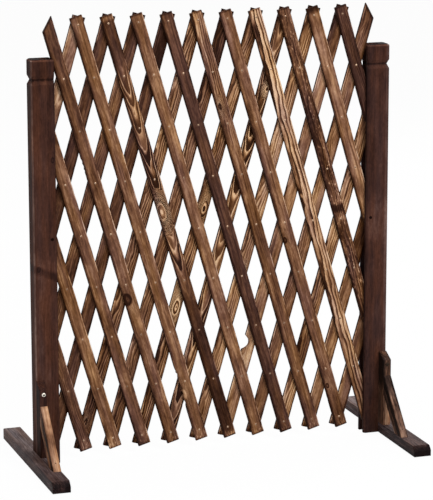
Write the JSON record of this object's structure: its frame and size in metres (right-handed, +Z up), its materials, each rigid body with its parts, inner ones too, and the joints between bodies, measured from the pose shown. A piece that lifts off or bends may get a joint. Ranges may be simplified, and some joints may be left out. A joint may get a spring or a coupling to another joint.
{
  "type": "expandable wooden fence",
  "caption": "Free-standing expandable fence: a pivoted scissor lattice of charred wooden slats between two grooved posts on braced feet.",
  "frame": {"origin": "on the ground in the middle of the footprint at rest; the lattice stands 14 mm behind it", "axes": "+Z up, +X along the fence from the left stand to the right one, -Y towards the braced front"},
  "size_m": [0.8268, 0.418, 0.9398],
  "materials": {
    "slat_wood": "charred and brushed pine, satin",
    "post_wood": "dark charred pine, satin",
    "foot_wood": "dark charred pine, dull",
    "brace_wood": "charred pine, satin",
    "dowel_wood": "plain beech",
    "steel": "zinc plated"
  },
  "bodies": {
    "left_stand": {"post_left": "post_wood", "foot_left": "foot_wood", "brace_leg_left": "brace_wood", "brace_strut_left": "brace_wood", "brace_dowel_left": "dowel_wood", "brace_screw_left": "steel", "foot_screws_left": "steel", "post_pin_left": "steel"},
    "right_stand": {"post_right": "post_wood", "foot_right": "foot_wood", "brace_leg_right": "brace_wood", "brace_strut_right": "brace_wood", "brace_dowel_right": "dowel_wood", "brace_screw_right": "steel", "foot_screws_right": "steel", "post_pin_right": "steel"},
    "front_01": {"front_slat_01": "slat_wood", "nails_01": "steel"},
    "front_02": {"front_slat_02": "slat_wood", "nails_02": "steel"},
    "front_03": {"front_slat_03": "slat_wood", "nails_03": "steel"},
    "front_04": {"front_slat_04": "slat_wood", "nails_04": "steel"},
    "front_05": {"front_slat_05": "slat_wood", "nails_05": "steel"},
    "front_06": {"front_slat_06": "slat_wood", "nails_06": "steel"},
    "front_07": {"front_slat_07": "slat_wood", "nails_07": "steel"},
    "front_08": {"front_slat_08": "slat_wood", "nails_08": "steel"},
    "front_09": {"front_slat_09": "slat_wood", "nails_09": "steel"},
    "front_10": {"front_slat_10": "slat_wood", "nails_10": "steel"},
    "front_11": {"front_slat_11": "slat_wood", "nails_11": "steel"},
    "front_12": {"front_slat_12": "slat_wood", "nails_12": "steel"},
    "front_13": {"front_slat_13": "slat_wood", "nails_13": "steel"},
    "front_14": {"front_slat_14": "slat_wood", "nails_14": "steel"},
    "rear_01": {"rear_slat_01": "slat_wood"},
    "rear_02": {"rear_slat_02": "slat_wood"},
    "rear_03": {"rear_slat_03": "slat_wood"},
    "rear_04": {"rear_slat_04": "slat_wood"},
    "rear_05": {"rear_slat_05": "slat_wood"},
    "rear_06": {"rear_slat_06": "slat_wood"},
    "rear_07": {"rear_slat_07": "slat_wood"},
    "rear_08": {"rear_slat_08": "slat_wood"},
    "rear_09": {"rear_slat_09": "slat_wood"},
    "rear_10": {"rear_slat_10": "slat_wood"},
    "rear_11": {"rear_slat_11": "slat_wood"},
    "rear_12": {"rear_slat_12": "slat_wood"},
    "rear_13": {"rear_slat_13": "slat_wood"},
    "rear_14": {"rear_slat_14": "slat_wood"}
  },
  "joints": [
    {"name": "fold", "type": "hinge", "parent": "left_stand", "child": "front_02", "pos_m": [-0.35245, 0.014, 0.48], "axis": [0, -1, 0], "range_deg": [-9, 20.75]},
    {"name": "pivot_rear_02", "type": "hinge", "parent": "front_02", "child": "rear_02", "pos_m": [-0.35245, 0.014, 0.48], "axis": [0, -1, 0], "range_deg": [-41.5, 18]},
    {"name": "pivot_rear_03", "type": "hinge", "parent": "front_02", "child": "rear_03", "pos_m": [-0.3204, 0.014, 0.37007], "axis": [0, -1, 0], "range_deg": [-41.5, 18]},
    {"name": "pivot_rear_04", "type": "hinge", "parent": "front_02", "child": "rear_04", "pos_m": [-0.28836, 0.014, 0.26015], "axis": [0, -1, 0], "range_deg": [-41.5, 18]},
    {"name": "pivot_rear_05", "type": "hinge", "parent": "front_02", "child": "rear_05", "pos_m": [-0.25632, 0.014, 0.15022], "axis": [0, -1, 0], "range_deg": [-41.5, 18]},
    {"name": "pivot_rear_06", "type": "hinge", "parent": "front_02", "child": "rear_06", "pos_m": [-0.22428, 0.014, 0.0403], "axis": [0, -1, 0], "range_deg": [-41.5, 18]},
    {"name": "pivot_front_10", "type": "hinge", "parent": "rear_06", "child": "front_10", "pos_m": [0.03204, 0.014, 0.9197], "axis": [0, -1, 0], "range_deg": [-18, 41.5]},
    {"name": "pivot_front_09", "type": "hinge", "parent": "rear_06", "child": "front_09", "pos_m": [0, 0.014, 0.80978], "axis": [0, -1, 0], "range_deg": [-18, 41.5]},
    {"name": "pivot_front_08", "type": "hinge", "parent": "rear_06", "child": "front_08", "pos_m": [-0.03204, 0.014, 0.69985], "axis": [0, -1, 0], "range_deg": [-18, 41.5]},
    {"name": "pivot_front_07", "type": "hinge", "parent": "rear_06", "child": "front_07", "pos_m": [-0.06408, 0.014, 0.58993], "axis": [0, -1, 0], "range_deg": [-18, 41.5]},
    {"name": "pivot_front_06", "type": "hinge", "parent": "rear_06", "child": "front_06", "pos_m": [-0.09612, 0.014, 0.48], "axis": [0, -1, 0], "range_deg": [-18, 41.5]},
    {"name": "pivot_front_05", "type": "hinge", "parent": "rear_06", "child": "front_05", "pos_m": [-0.12816, 0.014, 0.37007], "axis": [0, -1, 0], "range_deg": [-18, 41.5]},
    {"name": "pivot_front_04", "type": "hinge", "parent": "rear_06", "child": "front_04", "pos_m": [-0.1602, 0.014, 0.26015], "axis": [0, -1, 0], "range_deg": [-18, 41.5]},
    {"name": "pivot_front_03", "type": "hinge", "parent": "rear_06", "child": "front_03", "pos_m": [-0.19224, 0.014, 0.15022], "axis": [0, -1, 0], "range_deg": [-18, 41.5]},
    {"name": "pivot_front_01", "type": "hinge", "parent": "rear_05", "child": "front_01", "pos_m": [-0.28836, 0.014, 0.0403], "axis": [0, -1, 0], "range_deg": [-18, 41.5]},
    {"name": "pivot_rear_01", "type": "hinge", "parent": "front_04", "child": "rear_01", "pos_m": [-0.3204, 0.014, 0.80978], "axis": [0, -1, 0], "range_deg": [-41.5, 18]},
    {"name": "pivot_rear_07", "type": "hinge", "parent": "front_10", "child": "rear_07", "pos_m": [0.06408, 0.014, 0.80978], "axis": [0, -1, 0], "range_deg": [-41.5, 18]},
    {"name": "pivot_rear_08", "type": "hinge", "parent": "front_10", "child": "rear_08", "pos_m": [0.09612, 0.014, 0.69985], "axis": [0, -1, 0], "range_deg": [-41.5, 18]},
    {"name": "pivot_rear_09", "type": "hinge", "parent": "front_10", "child": "rear_09", "pos_m": [0.12816, 0.014, 0.58993], "axis": [0, -1, 0], "range_deg": [-41.5, 18]},
    {"name": "pivot_rear_10", "type": "hinge", "parent": "front_10", "child": "rear_10", "pos_m": [0.1602, 0.014, 0.48], "axis": [0, -1, 0], "range_deg": [-41.5, 18]},
    {"name": "pivot_rear_11", "type": "hinge", "parent": "front_10", "child": "rear_11", "pos_m": [0.19224, 0.014, 0.37007], "axis": [0, -1, 0], "range_deg": [-41.5, 18]},
    {"name": "pivot_rear_12", "type": "hinge", "parent": "front_10", "child": "rear_12", "pos_m": [0.22428, 0.014, 0.26015], "axis": [0, -1, 0], "range_deg": [-41.5, 18]},
    {"name": "pivot_rear_13", "type": "hinge", "parent": "front_10", "child": "rear_13", "pos_m": [0.25632, 0.014, 0.15022], "axis": [0, -1, 0], "range_deg": [-41.5, 18]},
    {"name": "pivot_rear_14", "type": "hinge", "parent": "front_10", "child": "rear_14", "pos_m": [0.28836, 0.014, 0.0403], "axis": [0, -1, 0], "range_deg": [-41.5, 18]},
    {"name": "pivot_front_13", "type": "hinge", "parent": "rear_13", "child": "front_13", "pos_m": [0.35245, 0.014, 0.48], "axis": [0, -1, 0], "range_deg": [-18, 41.5]},
    {"name": "pivot_front_12", "type": "hinge", "parent": "rear_13", "child": "front_12", "pos_m": [0.3204, 0.014, 0.37007], "axis": [0, -1, 0], "range_deg": [-18, 41.5]},
    {"name": "pivot_front_11", "type": "hinge", "parent": "rear_13", "child": "front_11", "pos_m": [0.28836, 0.014, 0.26015], "axis": [0, -1, 0], "range_deg": [-18, 41.5]},
    {"name": "pivot_front_14", "type": "hinge", "parent": "rear_11", "child": "front_14", "pos_m": [0.3204, 0.014, 0.80978], "axis": [0, -1, 0], "range_deg": [-18, 41.5]},
    {"name": "pivot_right_stand", "type": "hinge", "parent": "rear_13", "child": "right_stand", "pos_m": [0.35245, 0.014, 0.48], "axis": [0, -1, 0], "range_deg": [-9, 20.75]}
  ],
  "couplings": [
    {"joint": "pivot_rear_02", "follows": "fold", "ratio": -2},
    {"joint": "pivot_rear_03", "follows": "fold", "ratio": -2},
    {"joint": "pivot_rear_04", "follows": "fold", "ratio": -2},
    {"joint": "pivot_rear_05", "follows": "fold", "ratio": -2},
    {"joint": "pivot_rear_06", "follows": "fold", "ratio": -2},
    {"joint": "pivot_front_10", "follows": "fold", "ratio": 2},
    {"joint": "pivot_front_09", "follows": "fold", "ratio": 2},
    {"joint": "pivot_front_08", "follows": "fold", "ratio": 2},
    {"joint": "pivot_front_07", "follows": "fold", "ratio": 2},
    {"joint": "pivot_front_06", "follows": "fold", "ratio": 2},
    {"joint": "pivot_front_05", "follows": "fold", "ratio": 2},
    {"joint": "pivot_front_04", "follows": "fold", "ratio": 2},
    {"joint": "pivot_front_03", "follows": "fold", "ratio": 2},
    {"joint": "pivot_front_01", "follows": "fold", "ratio": 2},
    {"joint": "pivot_rear_01", "follows": "fold", "ratio": -2},
    {"joint": "pivot_rear_07", "follows": "fold", "ratio": -2},
    {"joint": "pivot_rear_08", "follows": "fold", "ratio": -2},
    {"joint": "pivot_rear_09", "follows": "fold", "ratio": -2},
    {"joint": "pivot_rear_10", "follows": "fold", "ratio": -2},
    {"joint": "pivot_rear_11", "follows": "fold", "ratio": -2},
    {"joint": "pivot_rear_12", "follows": "fold", "ratio": -2},
    {"joint": "pivot_rear_13", "follows": "fold", "ratio": -2},
    {"joint": "pivot_rear_14", "follows": "fold", "ratio": -2},
    {"joint": "pivot_front_13", "follows": "fold", "ratio": 2},
    {"joint": "pivot_front_12", "follows": "fold", "ratio": 2},
    {"joint": "pivot_front_11", "follows": "fold", "ratio": 2},
    {"joint": "pivot_front_14", "follows": "fold", "ratio": 2},
    {"joint": "pivot_right_stand", "follows": "fold", "ratio": 1}
  ]
}
